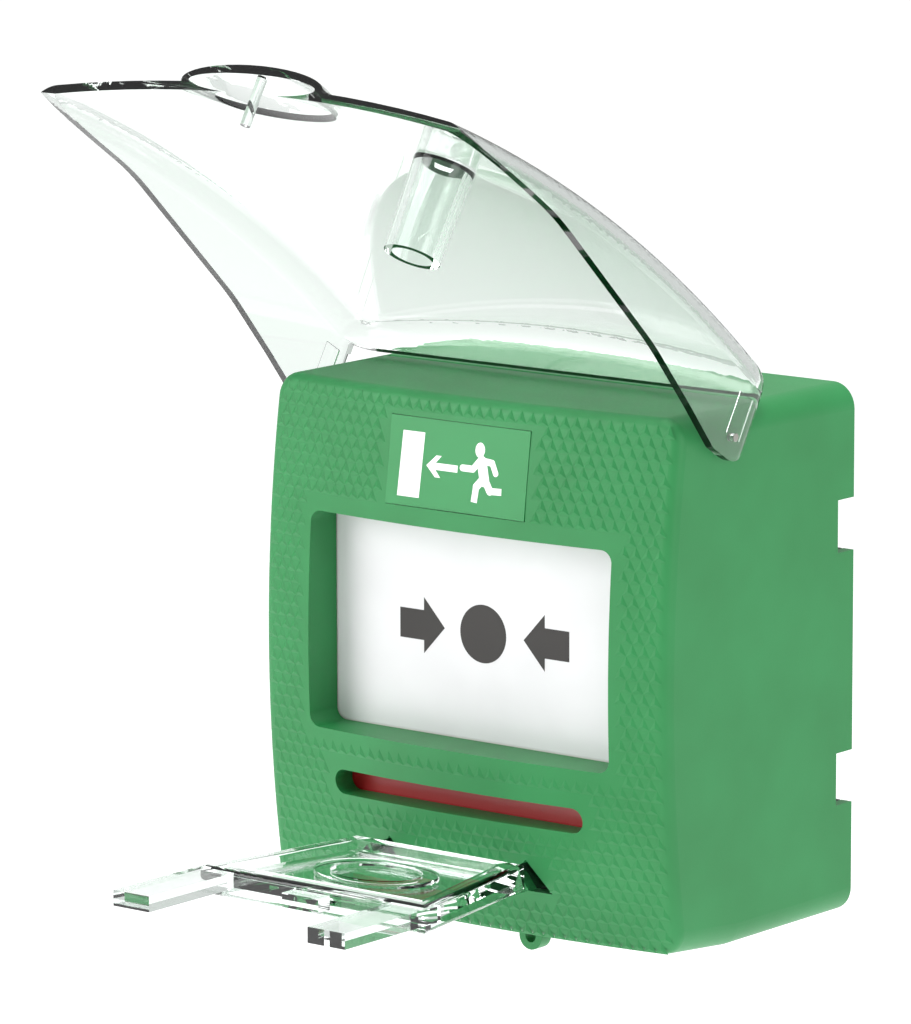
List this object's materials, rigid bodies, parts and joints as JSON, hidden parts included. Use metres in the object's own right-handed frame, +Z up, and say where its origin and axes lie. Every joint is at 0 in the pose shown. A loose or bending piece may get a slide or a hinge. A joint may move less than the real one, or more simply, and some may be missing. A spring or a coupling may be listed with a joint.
{
  "type": "manual call point",
  "caption": "Green wall-mounted emergency door release call point with a press plate behind a window, a red flag slot, a hinged clear lid and a clear reset key.",
  "frame": {"origin": "centre of the back face, on the wall", "axes": "+Y into the wall, so the front faces -Y; +X to the right seen from the front; +Z up"},
  "size_m": [0.105, 0.1313, 0.1833],
  "materials": {
    "cover_green": "fine moulded grain",
    "sign_green": "satin",
    "clear_plastic": "clear, polished",
    "pin_steel": "turned",
    "plate_white": "satin",
    "print_sheet": "printed",
    "flag_red": "semi-gloss",
    "slider_black": "satin",
    "chassis_grey": "satin",
    "base_grey": "satin",
    "grommet_rubber": "matt",
    "board_green": "lacquered",
    "screw_zinc": "zinc plated",
    "terminal_grey": "satin",
    "spring_steel": "drawn wire",
    "switch_black": "satin",
    "button_white": "satin"
  },
  "bodies": {
    "housing": {"front_cover": "cover_green", "sign_label": "sign_green", "lid_hinge_pins": "pin_steel", "chassis": "chassis_grey", "wall_base": "base_grey", "wire_grommet": "grommet_rubber", "circuit_board": "board_green", "chassis_screws": "screw_zinc", "board_screws": "screw_zinc", "terminal_screws": "screw_zinc", "terminal_block_left": "terminal_grey", "terminal_block_right": "terminal_grey", "switch_left": "switch_black", "switch_right": "switch_black", "plate_spring_lower_left": "spring_steel", "plate_spring_upper_left": "spring_steel", "plate_spring_lower_right": "spring_steel", "plate_spring_upper_right": "spring_steel", "reset_spring_left": "spring_steel", "reset_spring_right": "spring_steel"},
    "clear_lid": {"lid": "clear_plastic"},
    "press_plate": {"operating_plate": "plate_white", "panel_print": "print_sheet"},
    "flag": {"indicator_flag": "flag_red"},
    "slider": {"reset_slider": "slider_black"},
    "lever_left": {"switch_lever_left": "screw_zinc"},
    "lever_right": {"switch_lever_right": "screw_zinc"},
    "button_left": {"switch_button_left": "button_white"},
    "button_right": {"switch_button_right": "button_white"},
    "key": {"reset_key": "clear_plastic"}
  },
  "joints": [
    {"name": "lid_hinge", "type": "hinge", "parent": "housing", "child": "clear_lid", "pos_m": [0, -0.0426, 0.0482], "axis": [1, 0, 0], "range_deg": [0, 90]},
    {"name": "plate_press", "type": "slide", "parent": "housing", "child": "press_plate", "axis": [0, 1, 0], "range_m": [0, 0.0025], "stiffness_N_per_m": 1500, "springref_m": -0.002},
    {"name": "flag_drop", "type": "slide", "parent": "housing", "child": "flag", "axis": [0, 0, -1], "range_m": [0, 0.0051]},
    {"name": "slider_push", "type": "slide", "parent": "housing", "child": "slider", "axis": [0, 1, 0], "range_m": [0, 0.002], "stiffness_N_per_m": 800, "springref_m": -0.002},
    {"name": "key_pull", "type": "slide", "parent": "housing", "child": "key", "axis": [0, -1, 0], "range_m": [0, 0.03]},
    {"name": "lever_left_turn", "type": "hinge", "parent": "housing", "child": "lever_left", "pos_m": [-0.018, -0.0264, -0.003], "axis": [-1, 0, 0], "range_deg": [0, 11.2]},
    {"name": "button_left_press", "type": "slide", "parent": "housing", "child": "button_left", "axis": [0, 1, 0], "range_m": [0, 0.0014]},
    {"name": "lever_right_turn", "type": "hinge", "parent": "housing", "child": "lever_right", "pos_m": [0.018, -0.0264, -0.003], "axis": [-1, 0, 0], "range_deg": [0, 11.2]},
    {"name": "button_right_press", "type": "slide", "parent": "housing", "child": "button_right", "axis": [0, 1, 0], "range_m": [0, 0.0014]}
  ],
  "couplings": [
    {"joint": "flag_drop", "follows": "plate_press", "ratio": 2.04},
    {"joint": "lever_left_turn", "follows": "plate_press", "rad_per_m": 76},
    {"joint": "button_left_press", "follows": "plate_press", "ratio": 0.56},
    {"joint": "lever_right_turn", "follows": "plate_press", "rad_per_m": 76},
    {"joint": "button_right_press", "follows": "plate_press", "ratio": 0.56}
  ]
}
